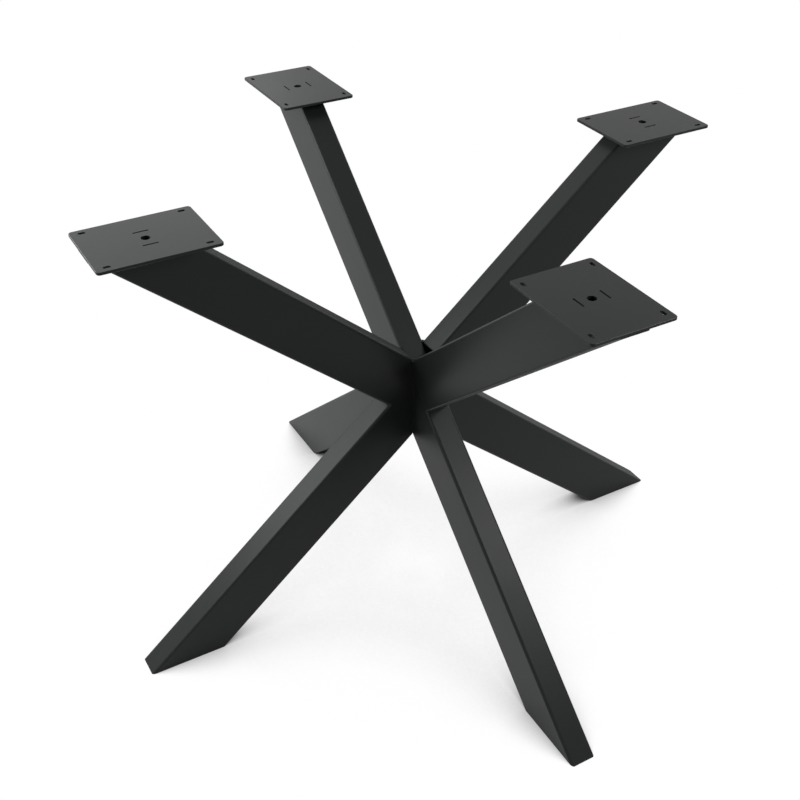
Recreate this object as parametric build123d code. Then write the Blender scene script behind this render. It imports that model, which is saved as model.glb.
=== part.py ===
"""Welded steel table frame of crossing rectangular tubes.

Two upright crosses of tube stand at right angles and share one hub. The cross that runs front to back
is built on one tube that passes straight through the hub, from the back plate down to the front foot.
A short arm and a short leg are saddled onto its narrow faces. The cross that runs left to right is four
short tubes that butt against the flanks of the first one and are mitred to each other at hub height.
Each arm carries a drilled and slotted plate for the table top, and each leg ends in a closing plate.

Frame: origin on the floor under the hub, +X to the right plate, +Y to the back plate, +Z up. Millimetres.
"""

import os
from math import asin, atan2, cos, degrees, hypot, sin, tan

from build123d import *

# Overall sizes
FRAME_HEIGHT = 720.0  # floor to the top face of the plates
PLATE_SPAN = 940.0  # outer edge to outer edge of two opposite plates
HUB_HEIGHT = 363.0  # floor to the point where the tube centre lines cross

# Rectangular tube
TUBE_DEPTH = 80.0  # measured in the upright plane that the tube lies in
TUBE_WIDTH = 40.0  # measured across that plane
TUBE_WALL = 2.0
TUBE_CORNER_RADIUS = 4.0
LEAST_INNER_RADIUS = 0.5  # the inner corners of the tube are never drawn sharper than this

# Top plate
PLATE_LENGTH = 160.0  # along the arm
PLATE_WIDTH = 120.0  # across the arm
PLATE_THICKNESS = 4.0
PLATE_CORNER_RADIUS = 5.0
PLATE_EDGE_BREAK = 0.5  # the sharp edge taken off all round the top and the underside
SCREW_SLOT_SPACING_ALONG = 130.0
SCREW_SLOT_SPACING_ACROSS = 100.0
SCREW_SLOT_LENGTH = 10.0
SCREW_SLOT_WIDTH = 5.0
VENT_HOLE_DIAMETER = 12.0

# Tabs on the tube's side walls, which locate the plate in its two narrow slots
TAB_LENGTH = 20.0
TAB_RECESS = 1.2  # from the plate's top face down to the end of the tab
TAB_CLEARANCE = 0.25  # between a tab and its slot, all round

# Closing plate in the foot of a leg
FOOT_PLATE_THICKNESS = 3.0
FOOT_PLATE_CLEARANCE = 0.2  # between the closing plate and the tube's inner wall

# Directions of the arms and legs, as the turn about +Z from +X
RIGHT, BACK, LEFT, FRONT = 0.0, 90.0, 180.0, 270.0

# Heights and angles that follow from the sizes above
PLATE_SEAT = FRAME_HEIGHT - PLATE_THICKNESS  # underside of the plates
ARM_REACH = PLATE_SPAN / 2
ARM_RISE = PLATE_SEAT - HUB_HEIGHT
# The tube's lower face meets the plate's underside at the plate's outer edge.
SLOPE = atan2(ARM_RISE, ARM_REACH) + asin(TUBE_DEPTH / 2 / hypot(ARM_REACH, ARM_RISE))
PLATE_CENTRE = ARM_REACH - PLATE_LENGTH / 2  # from the hub axis
TAB_CENTRE_ACROSS = (TUBE_WIDTH - TUBE_WALL) / 2
TAB_HEIGHT = PLATE_THICKNESS - TAB_RECESS
TAB_SLOT_LENGTH = TAB_LENGTH + 2 * TAB_CLEARANCE
TAB_SLOT_WIDTH = TUBE_WALL + 2 * TAB_CLEARANCE
FOOT_CENTRE = HUB_HEIGHT / tan(SLOPE)  # where a leg's centre line meets the floor
SADDLE_LIP = 0.7 * TUBE_CORNER_RADIUS  # reach of a saddled end down over the through tube's rounded corners
BAR_LENGTH = (FRAME_HEIGHT + TUBE_DEPTH) / sin(SLOPE)  # runs past the plates and the floor until it is cut

HUB = Vector(0, 0, HUB_HEIGHT)


def tube_plane(turn, rises):
    """Plane at the hub whose normal runs outwards along a tube and whose x axis runs across its depth."""
    slope = SLOPE if rises else -SLOPE
    along = Vector(cos(slope), 0, sin(slope)).rotate(Axis.Z, turn)
    depth = Vector(-sin(slope), 0, cos(slope)).rotate(Axis.Z, turn)
    return Plane(origin=HUB, x_dir=depth, z_dir=along)


def tube_section(inset):
    """Outline of the tube, drawn in from its outer surface, with the depth along x."""
    radius = max(TUBE_CORNER_RADIUS - inset, LEAST_INNER_RADIUS)
    return RectangleRounded(TUBE_DEPTH - 2 * inset, TUBE_WIDTH - 2 * inset, radius)


def bar(turn, rises, inset=0.0, both=False):
    """Solid bar with the outline of the tube, from the hub outwards, or both ways past the hub."""
    return extrude(tube_plane(turn, rises) * tube_section(inset), BAR_LENGTH, both=both)


def slab(bottom, top):
    """Everything between two heights."""
    block = Box(2 * BAR_LENGTH, 2 * BAR_LENGTH, top - bottom)
    return Pos(0, 0, (bottom + top) / 2) * block


def through_bar(inset=0.0):
    """The bar that runs straight through the hub, from the back plate to the front foot."""
    return bar(BACK, True, inset, both=True)


def plate_tabs(turn):
    """The two tabs that stand on the side walls of an arm."""
    tab = Box(TAB_LENGTH, TUBE_WALL, TAB_HEIGHT, align=(Align.CENTER, Align.CENTER, Align.MIN))
    seats = [Pos(PLATE_CENTRE, side * TAB_CENTRE_ACROSS, PLATE_SEAT) for side in (-1, 1)]
    return [Rot(0, 0, turn) * seat * tab for seat in seats]


def through_tube():
    """The tube that runs from the back plate through the hub to the front foot."""
    tube = through_bar() & slab(0, PLATE_SEAT)
    tube -= through_bar(TUBE_WALL)
    return tube + plate_tabs(BACK)


def saddle(side):
    """The through tube's upper (1) or lower (-1) narrow face, with all that lies behind its rounded corners."""
    outline = tube_section(0) + Pos(-side * SADDLE_LIP, 0) * Rectangle(TUBE_DEPTH, 2 * TUBE_WIDTH)
    return extrude(tube_plane(BACK, True) * outline, BAR_LENGTH, both=True)


def saddled_arm():
    """The front arm, which stands on the upper narrow face of the through tube."""
    arm = bar(FRONT, True) & slab(0, PLATE_SEAT)
    arm -= saddle(1)
    arm -= bar(FRONT, True, TUBE_WALL, both=True)
    return arm + plate_tabs(FRONT)


def saddled_leg():
    """The back leg, which hangs from the lower narrow face of the through tube."""
    leg = bar(BACK, False) & slab(0, PLATE_SEAT)
    leg -= saddle(-1)
    return leg - bar(BACK, False, TUBE_WALL, both=True)


def outside_flank(turn):
    """All that lies outside the flank of the front-to-back cross on one side."""
    half = Box(BAR_LENGTH, BAR_LENGTH, 2 * BAR_LENGTH, align=(Align.MIN, Align.CENTER, Align.CENTER))
    return Rot(0, 0, turn) * Pos(TUBE_WIDTH / 2, 0, HUB_HEIGHT) * half


def flank_arm(turn):
    """An arm that butts against a flank of the front-to-back cross, mitred to the leg below it."""
    arm = bar(turn, True) & slab(HUB_HEIGHT, PLATE_SEAT)
    arm &= outside_flank(turn)
    arm -= bar(turn, True, TUBE_WALL, both=True)
    return arm + plate_tabs(turn)


def flank_leg(turn):
    """A leg that butts against a flank of the front-to-back cross, mitred to the arm above it."""
    leg = bar(turn, False) & slab(0, HUB_HEIGHT)
    leg &= outside_flank(turn)
    return leg - bar(turn, False, TUBE_WALL, both=True)


def top_plate(turn):
    """A plate with slotted screw holes at its corners, a vent hole and the slots for the tabs."""
    outline = RectangleRounded(PLATE_LENGTH, PLATE_WIDTH, PLATE_CORNER_RADIUS)
    blank = extrude(outline, PLATE_THICKNESS)
    rims = blank.edges().filter_by(GeomType.LINE).filter_by(Axis.Z, reverse=True)
    rims += blank.edges().filter_by(GeomType.CIRCLE)
    blank = chamfer(rims, PLATE_EDGE_BREAK)
    screw_slots = GridLocations(SCREW_SLOT_SPACING_ALONG, SCREW_SLOT_SPACING_ACROSS, 2, 2)
    tab_slots = GridLocations(0, 2 * TAB_CENTRE_ACROSS, 1, 2)
    openings = Circle(VENT_HOLE_DIAMETER / 2)
    openings += screw_slots * SlotOverall(SCREW_SLOT_LENGTH, SCREW_SLOT_WIDTH)
    openings += tab_slots * Rectangle(TAB_SLOT_LENGTH, TAB_SLOT_WIDTH)
    blank -= extrude(openings, PLATE_THICKNESS)
    return Rot(0, 0, turn) * Pos(PLATE_CENTRE, 0, PLATE_SEAT) * blank


def foot_plate(turn):
    """The plate that closes the foot of a leg, with its edges sloped to the tube's inner walls."""
    return bar(turn, False, TUBE_WALL + FOOT_PLATE_CLEARANCE) & slab(0, FOOT_PLATE_THICKNESS)


def build():
    """All the pieces of the frame by name."""
    pieces = {
        "through_tube": through_tube(),
        "front_arm": saddled_arm(),
        "back_leg": saddled_leg(),
        "right_arm": flank_arm(RIGHT),
        "left_arm": flank_arm(LEFT),
        "right_leg": flank_leg(RIGHT),
        "left_leg": flank_leg(LEFT),
    }
    for side, turn in (("right", RIGHT), ("back", BACK), ("left", LEFT), ("front", FRONT)):
        pieces[f"{side}_top_plate"] = top_plate(turn)
        pieces[f"{side}_foot_plate"] = foot_plate(turn)
    return pieces


os.makedirs("parts", exist_ok=True)
for name, piece in build().items():
    export_step(piece, f"parts/{name}.step")
print(f"slope {degrees(SLOPE):.2f} degrees, feet centred {FOOT_CENTRE:.1f} mm from the hub axis")
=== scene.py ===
"""Looks of a welded table frame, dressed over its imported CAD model.

The tubes and plates are the CAD nodes with a powder coat on them, and weld beads are laid along the seams
where they meet. The studio, the light and the camera stand where the photograph needs them. Lengths are
metres, apart from names that end in mm or pixels, and angles are degrees, apart from the tubes' slope.
"""

from __future__ import annotations

import logging
from dataclasses import dataclass, replace
from enum import Enum
from math import asin, atan2, cos, hypot, pi, radians, sin, sqrt, tan
from typing import Any

import bmesh
import bpy
from mathutils import Matrix, Vector, noise


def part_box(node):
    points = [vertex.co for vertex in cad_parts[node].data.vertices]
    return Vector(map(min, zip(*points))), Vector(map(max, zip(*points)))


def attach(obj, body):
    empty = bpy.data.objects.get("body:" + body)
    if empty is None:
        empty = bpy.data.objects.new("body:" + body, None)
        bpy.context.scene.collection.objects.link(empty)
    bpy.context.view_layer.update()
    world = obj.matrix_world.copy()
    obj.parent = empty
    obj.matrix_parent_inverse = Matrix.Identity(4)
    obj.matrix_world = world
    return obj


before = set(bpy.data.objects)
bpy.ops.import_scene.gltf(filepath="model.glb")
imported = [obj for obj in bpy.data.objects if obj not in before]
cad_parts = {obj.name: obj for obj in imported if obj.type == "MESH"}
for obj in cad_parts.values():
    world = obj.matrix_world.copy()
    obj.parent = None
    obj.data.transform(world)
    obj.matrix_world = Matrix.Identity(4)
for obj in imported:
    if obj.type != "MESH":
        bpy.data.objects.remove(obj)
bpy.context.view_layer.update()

LOG = logging.getLogger("table_frame")
MM = 0.001
BODY = "root"
WHITE = "#ffffff"


def linear(colour: str) -> tuple[float, float, float, float]:
    """Turns an sRGB hex colour into a linear one, by the curve that the sRGB standard gives.

    Args:
        colour: Six hex digits after a hash sign.

    Returns:
        Red, green, blue and an alpha of 1.
    """
    channels = [int(colour[i : i + 2], 16) / 255 for i in (1, 3, 5)]
    red, green, blue = (c / 12.92 if c <= 0.04045 else ((c + 0.055) / 1.055) ** 2.4 for c in channels)
    return red, green, blue, 1.0


def add_node(
    tree: bpy.types.NodeTree, kind: str, inputs: dict[str | int, Any] | None = None, **settings: Any
) -> bpy.types.Node:
    """Adds a node, sets it up and links it.

    Args:
        tree: Node tree that the node goes into.
        kind: Blender's name for the node type.
        inputs: Value or source socket for each input, by the input's name or number.
        **settings: Properties of the node itself.

    Returns:
        The new node.
    """
    made = tree.nodes.new(kind)
    for name, value in settings.items():
        setattr(made, name, value)
    for name, value in (inputs or {}).items():
        if isinstance(value, bpy.types.NodeSocket):
            tree.links.new(value, made.inputs[name])
        else:
            made.inputs[name].default_value = value
    return made


def empty_tree(owner: bpy.types.Material | bpy.types.World) -> bpy.types.NodeTree:
    """Turns nodes on for a material or a world and clears them.

    Args:
        owner: Material or world.

    Returns:
        Its node tree, with nothing in it.
    """
    owner.use_nodes = True
    owner.node_tree.nodes.clear()
    return owner.node_tree


def seen_switch(tree: bpy.types.NodeTree) -> bpy.types.NodeSocket:
    """Adds a switch that is 1 for what the camera, gloss or glass sees and 0 for scattered light.

    Args:
        tree: Node tree that the switch goes into.

    Returns:
        The switch's output.
    """
    rays = add_node(tree, "ShaderNodeLightPath").outputs
    either = add_node(
        tree,
        "ShaderNodeMath",
        {0: rays["Is Camera Ray"], 1: rays["Is Glossy Ray"]},
        operation="MAXIMUM",
    )
    any_of = add_node(
        tree,
        "ShaderNodeMath",
        {0: either.outputs[0], 1: rays["Is Transmission Ray"]},
        operation="MAXIMUM",
    )
    return any_of.outputs[0]


class Side(Enum):
    """A side of the frame, with its turn about the upright axis from the right side."""

    RIGHT = 0.0
    BACK = 90.0
    LEFT = 180.0
    FRONT = 270.0

    @property
    def label(self) -> str:
        """Name of the side as the CAD nodes spell it."""
        return self.name.lower()

    @property
    def turn(self) -> Matrix:
        """Turn from the right side to this one."""
        return Matrix.Rotation(radians(self.value), 3, "Z")


class Corner(Enum):
    """The kind of corner that a bead is laid along."""

    INSIDE = "two faces that look at each other"
    OUTSIDE = "two faces that look away from each other"


@dataclass(frozen=True)
class PowderCoat:
    """Fine-textured black polyester powder coat, sprayed on steel and baked.

    It hides the steel under one dark, slightly green grey with a low, broad gloss. The film is a little
    uneven, so its tone and its gloss drift over a hand's width, and it has a fine orange-peel grain. Seen
    along the surface, the grain stands in the way and the gloss spreads out.
    """

    name: str = "fine_texture_black_powder_coat"
    colour: str = "#282c2a"
    cloud_colour: str = "#2b2f2d"
    cloud_mm: float = 90.0
    cloud_detail: float = 3.0
    # The real grain is about 0.4 mm across. It is drawn coarser here, so that it shows in a picture.
    grain_mm: float = 1.6
    grain_height_mm: float = 0.05
    grain_strength: float = 0.12
    least_roughness: float = 0.28
    most_roughness: float = 0.36
    specular: float = 0.125
    # A facing of 0 is a face seen square on, and 1 a face seen along its surface.
    glance_start: float = 0.68
    glance_end: float = 0.84
    glance_roughness: float = 0.3

    def build(self) -> bpy.types.Material:
        """Makes the material.

        Returns:
            The new material.
        """
        material = bpy.data.materials.new(self.name)
        tree = empty_tree(material)
        place = add_node(tree, "ShaderNodeTexCoord").outputs["Object"]
        clouds = add_node(
            tree,
            "ShaderNodeTexNoise",
            {"Vector": place, "Scale": 1 / (self.cloud_mm * MM), "Detail": self.cloud_detail},
        )
        grain = add_node(tree, "ShaderNodeTexNoise", {"Vector": place, "Scale": 1 / (self.grain_mm * MM)})
        tone = add_node(
            tree,
            "ShaderNodeMix",
            {"Factor": clouds.outputs["Fac"], "A": linear(self.colour), "B": linear(self.cloud_colour)},
            data_type="RGBA",
        )
        gloss = add_node(
            tree,
            "ShaderNodeMapRange",
            {"Value": clouds.outputs["Fac"], "To Min": self.least_roughness, "To Max": self.most_roughness},
        )
        facing = add_node(tree, "ShaderNodeLayerWeight").outputs["Facing"]
        glance = add_node(
            tree,
            "ShaderNodeMapRange",
            {
                "Value": facing,
                "From Min": self.glance_start,
                "From Max": self.glance_end,
                "To Max": self.glance_roughness,
            },
        )
        roughness = add_node(
            tree,
            "ShaderNodeMath",
            {0: gloss.outputs["Result"], 1: glance.outputs["Result"]},
            operation="ADD",
        )
        bump = add_node(
            tree,
            "ShaderNodeBump",
            {
                "Height": grain.outputs["Fac"],
                "Strength": self.grain_strength,
                "Distance": self.grain_height_mm * MM,
            },
        )
        shader = add_node(
            tree,
            "ShaderNodeBsdfPrincipled",
            {
                "Base Color": tone.outputs["Result"],
                "Roughness": roughness.outputs[0],
                "Specular IOR Level": self.specular,
                "Normal": bump.outputs["Normal"],
            },
        )
        add_node(tree, "ShaderNodeOutputMaterial", {"Surface": shader.outputs["BSDF"]})
        return material


@dataclass(frozen=True)
class PaperSweep:
    """White seamless paper, rolled out under the frame.

    The eye sees it as plain white, with a soft painted shade where the frame closes off the view upwards: a
    reading of how much of that view is free sets how brightly the white glows, so the lamps cast no shadow
    of their own on it. It scatters light as matt paper of a slightly darker tone.
    """

    name: str = "white_paper_sweep"
    scatter_colour: str = "#e1e1e1"
    # What stands over the paper within this reach darkens its painted shade.
    shade_reach: float = 0.4
    # Shares of the view upwards that are free where the paper is black, and where it is white.
    shut_share: float = 0.2
    open_share: float = 0.8
    shade_samples: int = 20

    def build(self) -> bpy.types.Material:
        """Makes the material.

        Returns:
            The new material.
        """
        material = bpy.data.materials.new(self.name)
        tree = empty_tree(material)
        view_up = add_node(
            tree,
            "ShaderNodeAmbientOcclusion",
            {"Distance": self.shade_reach},
            samples=self.shade_samples,
        )
        # Painted shade: the free share of the view upwards, ramped between the two shares, sets the white
        # glow's strength, so the frame's shadow on the paper is painted.
        painted_shade = add_node(
            tree,
            "ShaderNodeMapRange",
            {"Value": view_up.outputs["AO"], "From Min": self.shut_share, "From Max": self.open_share},
        )
        paper_with_painted_shade = add_node(
            tree,
            "ShaderNodeEmission",
            {"Color": linear(WHITE), "Strength": painted_shade.outputs["Result"]},
        )
        scatter = add_node(tree, "ShaderNodeBsdfDiffuse", {"Color": linear(self.scatter_colour)})
        surface = add_node(
            tree,
            "ShaderNodeMixShader",
            {0: seen_switch(tree), 1: scatter.outputs["BSDF"], 2: paper_with_painted_shade.outputs["Emission"]},
        )
        add_node(tree, "ShaderNodeOutputMaterial", {"Surface": surface.outputs["Shader"]})
        return material


@dataclass(frozen=True)
class CrossSizes:
    """Sizes of the two tube crosses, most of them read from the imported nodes.

    Attributes:
        hub: Height of the hub's middle.
        seat: Height of the top plates' underside.
        reach: Distance from the hub's axis to the outer edge of a top plate.
        half_width: Half of the tube's narrow side.
        half_depth: Half of the tube's wide side.
        slope: Slope of the tubes from level, in radians.
    """

    hub: float
    seat: float
    reach: float
    half_width: float
    half_depth: float
    slope: float

    @classmethod
    def from_frame(cls, tube_depth_mm: float = 80.0) -> CrossSizes:
        """Reads the sizes from the right arm and its plate.

        Args:
            tube_depth_mm: Wide side of the tube, which lies in the upright plane of its cross.

        Returns:
            The sizes.
        """
        arm_low, arm_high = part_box("right_arm")
        plate_low, plate_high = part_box("right_top_plate")
        half_depth = tube_depth_mm * MM / 2
        rise = plate_low.z - arm_low.z
        slope = atan2(rise, plate_high.x) + asin(half_depth / hypot(plate_high.x, rise))
        return cls(arm_low.z, plate_low.z, plate_high.x, arm_high.y, half_depth, slope)

    @property
    def down_out(self) -> Vector:
        """Outward normal of the lower face of the right arm."""
        return Vector((sin(self.slope), 0, -cos(self.slope)))

    @property
    def up_out(self) -> Vector:
        """Outward normal of the upper face of the right leg."""
        return Vector((sin(self.slope), 0, cos(self.slope)))


@dataclass
class SteelWork:
    """The tubes and plates, which keep the shapes of their CAD nodes."""

    coat: bpy.types.Material

    def dress(self) -> None:
        """Puts the coat on each node and reports it."""
        for name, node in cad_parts.items():
            for slot in node.material_slots:
                slot.material = self.coat
            LOG.info("%s coated", name)


@dataclass(frozen=True)
class Seam:
    """A straight run of weld along the line where two faces meet.

    Attributes:
        start: Where the run begins.
        end: Where the run stops.
        faces: Outward normals of the two faces.
        leg: Distance from the line to the bead's surface.
        corner: Kind of corner that the faces make.
    """

    start: Vector
    end: Vector
    faces: tuple[Vector, Vector]
    leg: float
    corner: Corner = Corner.INSIDE

    @property
    def along(self) -> Vector:
        """Direction of the run."""
        return (self.end - self.start).normalized()

    @property
    def length(self) -> float:
        """Length of the run."""
        return (self.end - self.start).length

    @property
    def crown(self) -> Vector:
        """Direction in which the bead stands proud."""
        return (self.faces[0] + self.faces[1]).normalized()

    def turned(self, turn: Matrix) -> Seam:
        """The same run on another side of the frame."""
        faces = (turn @ self.faces[0], turn @ self.faces[1])
        return replace(self, start=turn @ self.start, end=turn @ self.end, faces=faces)


@dataclass(frozen=True)
class Bead:
    """How a welder's bead looks: a row of overlapping ripples that is rounded off at both ends.

    Attributes:
        ripple_mm: Length of a ripple.
        least_ripples: Fewest ripples in a run.
        rings_per_ripple: Rings of points along a ripple.
        ring_points: Points in a ring.
        ripple_share: Share of the leg by which the bead narrows between two ripples.
        wander_share: Share of the leg by which its thickness wanders.
        wander_mm: Length over which its thickness wanders.
        lean_share: Share of the crown's height by which it leans along the run.
        end_share: Share of the leg that is left at the very ends.
        sink_mm: Depth to which the bead reaches into the faces of an inside corner.
    """

    ripple_mm: float = 2.6
    least_ripples: int = 2
    rings_per_ripple: int = 4
    ring_points: int = 14
    ripple_share: float = 0.09
    wander_share: float = 0.07
    wander_mm: float = 9.0
    lean_share: float = 0.35
    end_share: float = 0.25
    sink_mm: float = 0.25

    def lay(self, form: bmesh.types.BMesh, seam: Seam) -> None:
        """Lays one bead.

        Args:
            form: Mesh that the bead goes into.
            seam: Run that the bead follows.
        """
        ripples = max(self.least_ripples, round(seam.length / (self.ripple_mm * MM)))
        rings = ripples * self.rings_per_ripple
        first = len(form.verts)
        stand = Matrix.Translation(seam.start) @ seam.along.to_track_quat("Z", "Y").to_matrix().to_4x4()
        bmesh.ops.create_circle(form, radius=seam.leg, segments=self.ring_points, matrix=stand)
        ring = [edge for edge in form.edges if edge.is_wire]
        step = (seam.end - seam.start) / rings
        bmesh.ops.spin(form, geom=ring, cent=seam.start, axis=seam.along, dvec=step, angle=0.0, steps=rings)
        form.verts.ensure_lookup_table()
        for vert in form.verts[first:]:
            vert.co = self.place(vert.co, seam, ripples)
        ends = [edge for edge in form.edges if edge.is_boundary]
        bmesh.ops.holes_fill(form, edges=ends, sides=self.ring_points)

    def place(self, point: Vector, seam: Seam, ripples: int) -> Vector:
        """Moves a point of the plain rod to where it lies on the bead.

        Args:
            point: Point on the rod.
            seam: Run that the bead follows.
            ripples: Number of ripples in the run.

        Returns:
            The point on the rippled bead.
        """
        travel = (point - seam.start).dot(seam.along)
        middle = seam.start + seam.along * travel
        from_end = min(travel, seam.length - travel, seam.leg) / seam.leg
        size = max(self.end_share, sqrt(max(0.0, 1 - (1 - from_end) ** 2)))
        size *= 1 - self.ripple_share * (1 - abs(sin(pi * ripples * travel / seam.length)))
        size *= 1 + self.wander_share * noise.noise(middle / (self.wander_mm * MM))
        out = (point - middle) * size
        if seam.corner is Corner.INSIDE:
            # A push out of one face can move the point into the other, so each face has two turns.
            for face in 2 * seam.faces:
                out += face * max(0.0, -self.sink_mm * MM - out.dot(face))
        lean = self.lean_share * max(0.0, out.dot(seam.crown)) * from_end
        return middle + out + seam.along * lean


@dataclass
class Welds:
    """The beads that hold the frame together, under the plates and round the hub.

    Attributes:
        sizes: Sizes of the tube crosses.
        coat: Finish of the beads.
        bead: How each bead looks.
        plate_leg_mm: Leg of the beads along the arms' flanks, under the plates.
        plate_end_leg_mm: Leg of the bead across an arm's outer end.
        plate_end_setback_mm: Distance of that bead's middle from the plate's outer edge.
        plate_end_drop_mm: Distance of that bead's middle below the plate.
        hub_leg_mm: Leg of the bead in the crotch of an arm and a leg.
        corner_leg_mm: Leg of the small fills in the upper corners of the hub.
        corner_span_mm: Length of those fills.
        corner_drop_mm: Distance of their middles below the point where the arms' upper edges meet.
        corner_sink_mm: Distance of their middles from the corner's upright line, towards the hub's axis.
        valley_leg_mm: Leg of the beads in the valleys above and below the hub.
        corner_radius_mm: Radius of the tubes' long edges.
    """

    sizes: CrossSizes
    coat: bpy.types.Material
    bead: Bead = Bead()
    plate_leg_mm: float = 3.2
    plate_end_leg_mm: float = 1.9
    plate_end_setback_mm: float = 2.3
    plate_end_drop_mm: float = 1.0
    hub_leg_mm: float = 2.2
    corner_leg_mm: float = 3.0
    corner_span_mm: float = 8.0
    corner_drop_mm: float = 1.0
    corner_sink_mm: float = 1.2
    valley_leg_mm: float = 4.5
    corner_radius_mm: float = 4.0

    def build(self) -> None:
        """Lays all beads and reports each piece."""
        for side in Side:
            self.make(f"{side.label}_plate_weld", [seam.turned(side.turn) for seam in self.plate_seams()])
            hub_seams = [self.crotch_seam().turned(side.turn)]
            if side in (Side.RIGHT, Side.LEFT):
                hub_seams += [seam.turned(side.turn) for seam in self.corner_seams()]
            else:
                hub_seams.append(self.valley_seam(side))
            self.make(f"{side.label}_hub_weld", hub_seams)

    def plate_seams(self) -> list[Seam]:
        """Plans the welds under the right plate.

        Returns:
            Runs along both flanks of the arm and across its outer end.
        """
        sizes = self.sizes
        round_off = self.corner_radius_mm * MM / sin(sizes.slope)
        inner = sizes.reach - 2 * sizes.half_depth / sin(sizes.slope) + round_off
        outer = sizes.reach - round_off / 2
        down = Vector((0, 0, -1))
        seams = []
        for hand in (-1, 1):
            start = Vector((inner, hand * sizes.half_width, sizes.seat))
            end = Vector((outer, hand * sizes.half_width, sizes.seat))
            seams.append(Seam(start, end, (Vector((0, hand, 0)), down), self.plate_leg_mm * MM))
        edge = sizes.reach - self.plate_end_setback_mm * MM
        height = sizes.seat - self.plate_end_drop_mm * MM
        across = sizes.half_width
        start, end = Vector((edge, -across, height)), Vector((edge, across, height))
        faces = (Vector((1, 0, 0)), sizes.down_out)
        seams.append(Seam(start, end, faces, self.plate_end_leg_mm * MM, Corner.OUTSIDE))
        return seams

    def crotch_seam(self) -> Seam:
        """Plans the weld between the right arm and the right leg.

        Returns:
            Run across the arm's lower face, where the leg's upper face meets it.
        """
        sizes = self.sizes
        away = sizes.half_depth / sin(sizes.slope)
        across = sizes.half_width - self.corner_radius_mm * MM
        start, end = Vector((away, -across, sizes.hub)), Vector((away, across, sizes.hub))
        return Seam(start, end, (sizes.down_out, sizes.up_out), self.hub_leg_mm * MM)

    def corner_seams(self) -> list[Seam]:
        """Plans the fills in the two upper corners at the right side of the hub.

        Returns:
            Short slanting runs, where the upper edges of the arms meet.
        """
        sizes = self.sizes
        height = sizes.hub + sizes.half_depth / cos(sizes.slope) + sizes.half_width * tan(sizes.slope)
        height -= self.corner_drop_mm * MM
        half = self.corner_span_mm * MM / 2 / sqrt(2)
        place = sizes.half_width - self.corner_sink_mm * MM / sqrt(2)
        leg = self.corner_leg_mm * MM
        seams = []
        for hand in (-1, 1):
            middle = Vector((place, hand * place, height))
            across = Vector((half, -hand * half, 0))
            faces = (Vector((1, 0, 0)), Vector((0, hand, 0)))
            seams.append(Seam(middle - across, middle + across, faces, leg, Corner.OUTSIDE))
        return seams

    def valley_seam(self, side: Side) -> Seam:
        """Plans the weld in the valley above the hub, at the front, or in the one below it, at the back.

        Args:
            side: The front or the back.

        Returns:
            The run, from left to right.
        """
        sizes = self.sizes
        way = 1 if side is Side.FRONT else -1
        height = sizes.hub + way * sizes.half_depth / cos(sizes.slope)
        across = sizes.half_width - self.corner_radius_mm * MM / 2
        faces = tuple(Vector((0, hand * sin(sizes.slope), way * cos(sizes.slope))) for hand in (-1, 1))
        start, end = Vector((-across, 0, height)), Vector((across, 0, height))
        return Seam(start, end, faces, self.valley_leg_mm * MM)

    def make(self, name: str, seams: list[Seam]) -> None:
        """Makes one piece out of some runs and hands it to the frame.

        Args:
            name: Name of the piece.
            seams: Runs that the piece holds.
        """
        form = bmesh.new()
        for seam in seams:
            self.bead.lay(form, seam)
        bmesh.ops.recalc_face_normals(form, faces=form.faces)
        for face in form.faces:
            face.smooth = True
        mesh = bpy.data.meshes.new(name)
        form.to_mesh(mesh)
        form.free()
        mesh.materials.append(self.coat)
        piece = bpy.data.objects.new(name, mesh)
        bpy.context.scene.collection.objects.link(piece)
        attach(piece, BODY)
        LOG.info("%s laid in %d runs, %d faces", name, len(seams), len(mesh.polygons))


@dataclass(frozen=True)
class SoftBox:
    """A square soft lamp that looks at the middle of the frame.

    Attributes:
        name: Name of the lamp.
        turn: Turn about the upright axis from the right side.
        height: Height over the floor.
        distance: Distance from the upright axis.
        size: Side of the square.
        power: Power in watts.
    """

    name: str
    turn: float
    height: float
    distance: float
    size: float
    power: float

    def hang(self, target: Vector) -> None:
        """Makes the lamp.

        Args:
            target: Point that the lamp looks at.
        """
        data = bpy.data.lights.new(self.name, "AREA")
        data.shape = "SQUARE"
        data.size = self.size
        data.energy = self.power
        lamp = bpy.data.objects.new(self.name, data)
        lamp.location = Matrix.Rotation(radians(self.turn), 3, "Z") @ Vector((self.distance, 0, self.height))
        lamp.rotation_euler = (target - lamp.location).to_track_quat("-Z", "Y").to_euler()
        lamp.visible_camera = False
        bpy.context.scene.collection.objects.link(lamp)
        LOG.info("%s hung", self.name)


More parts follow.
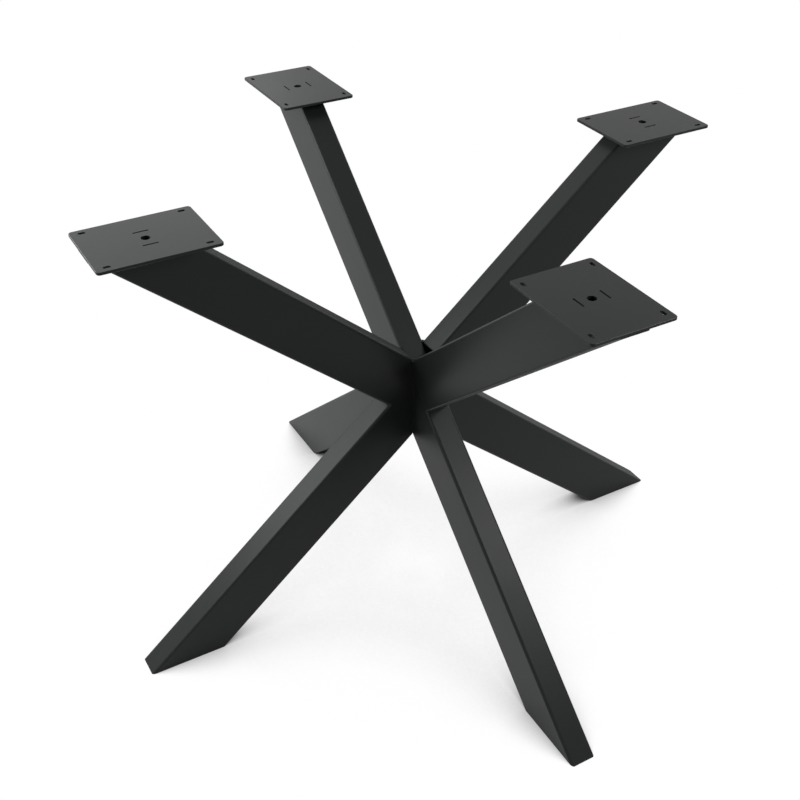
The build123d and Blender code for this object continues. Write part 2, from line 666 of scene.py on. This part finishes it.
@dataclass
class Studio:
    """White sweep, soft lamps and the world around the frame.

    Attributes:
        target: Point that the lamps look at.
        sweep: Finish of the floor.
        floor_size: Side of the floor, which is a square.
    """

    target: Vector
    sweep: PaperSweep = PaperSweep()
    floor_size: float = 40.0

    def build(self) -> None:
        """Makes the floor, the world and the lamps."""
        self.lay_floor()
        self.paint_world()
        for lamp in self.lamps():
            lamp.hang(self.target)

    def lamps(self) -> list[SoftBox]:
        """Plans the light.

        Returns:
            The soft boxes round the frame.
        """
        return [
            SoftBox("left_key_box", turn=150.0, height=0.95, distance=1.0, size=0.9, power=15.0),
            SoftBox("back_box", turn=90.0, height=1.5, distance=1.4, size=1.0, power=3.1),
            SoftBox("right_box", turn=0.0, height=1.5, distance=1.4, size=1.0, power=2.8),
            SoftBox("front_box", turn=305.0, height=1.7, distance=1.7, size=0.6, power=12.8),
        ]

    def lay_floor(self) -> None:
        """Lays the floor."""
        mesh = bpy.data.meshes.new("floor")
        form = bmesh.new()
        bmesh.ops.create_grid(form, x_segments=1, y_segments=1, size=self.floor_size / 2)
        form.to_mesh(mesh)
        form.free()
        mesh.materials.append(self.sweep.build())
        floor = bpy.data.objects.new("floor", mesh)
        bpy.context.scene.collection.objects.link(floor)
        LOG.info("floor laid")

    def paint_world(self) -> None:
        """Paints the world white where it is seen, and keeps it from lighting the frame."""
        world = bpy.data.worlds.new("studio")
        bpy.context.scene.world = world
        tree = empty_tree(world)
        glow = add_node(
            tree,
            "ShaderNodeBackground",
            {"Color": linear(WHITE), "Strength": seen_switch(tree)},
        )
        add_node(tree, "ShaderNodeOutputWorld", {"Surface": glow.outputs["Background"]})


@dataclass
class Viewpoint:
    """The photograph's camera, found by fitting the frame's edges to it.

    Attributes:
        place: Where the camera stands.
        heading: Turn of the view from the back towards the right.
        tilt: Turn of the view upwards from level.
        roll: Turn of the camera about its view, against the clock as seen from behind it.
        focal_pixels: Focal length, in the photograph's pixels.
        axis_pixels: Column of the photograph where the middle of the view lies.
        image_pixels: Side of the photograph, which is a square.
        sensor_mm: Width of the sensor.
    """

    place: tuple[float, float, float] = (-0.7448, -1.2731, 1.3767)
    heading: float = 30.484
    tilt: float = -35.081
    roll: float = 0.562
    focal_pixels: float = 1154.77
    axis_pixels: float = 420.0
    image_pixels: float = 800.0
    sensor_mm: float = 36.0

    def build(self) -> None:
        """Makes the camera and hands it to the scene."""
        data = bpy.data.cameras.new("camera")
        data.sensor_width = self.sensor_mm
        data.lens = self.focal_pixels * self.sensor_mm / self.image_pixels
        data.shift_x = 0.5 - self.axis_pixels / self.image_pixels
        # An unturned camera looks straight down, so a quarter turn brings its view level.
        aim = Matrix.Rotation(radians(-self.heading), 4, "Z")
        aim @= Matrix.Rotation(pi / 2 + radians(self.tilt), 4, "X")
        aim @= Matrix.Rotation(radians(self.roll), 4, "Z")
        camera = bpy.data.objects.new("camera", data)
        camera.matrix_world = Matrix.Translation(self.place) @ aim
        bpy.context.scene.collection.objects.link(camera)
        bpy.context.scene.camera = camera
        LOG.info("camera set up")


def main() -> None:
    """Dresses the frame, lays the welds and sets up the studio."""
    logging.basicConfig(level=logging.INFO, format="%(name)s: %(message)s")
    bpy.context.scene.view_settings.view_transform = "Standard"
    coat = PowderCoat().build()
    SteelWork(coat).dress()
    sizes = CrossSizes.from_frame()
    Welds(sizes, coat).build()
    Studio(Vector((0, 0, sizes.hub))).build()
    Viewpoint().build()


if __name__ == "__main__":
    main()
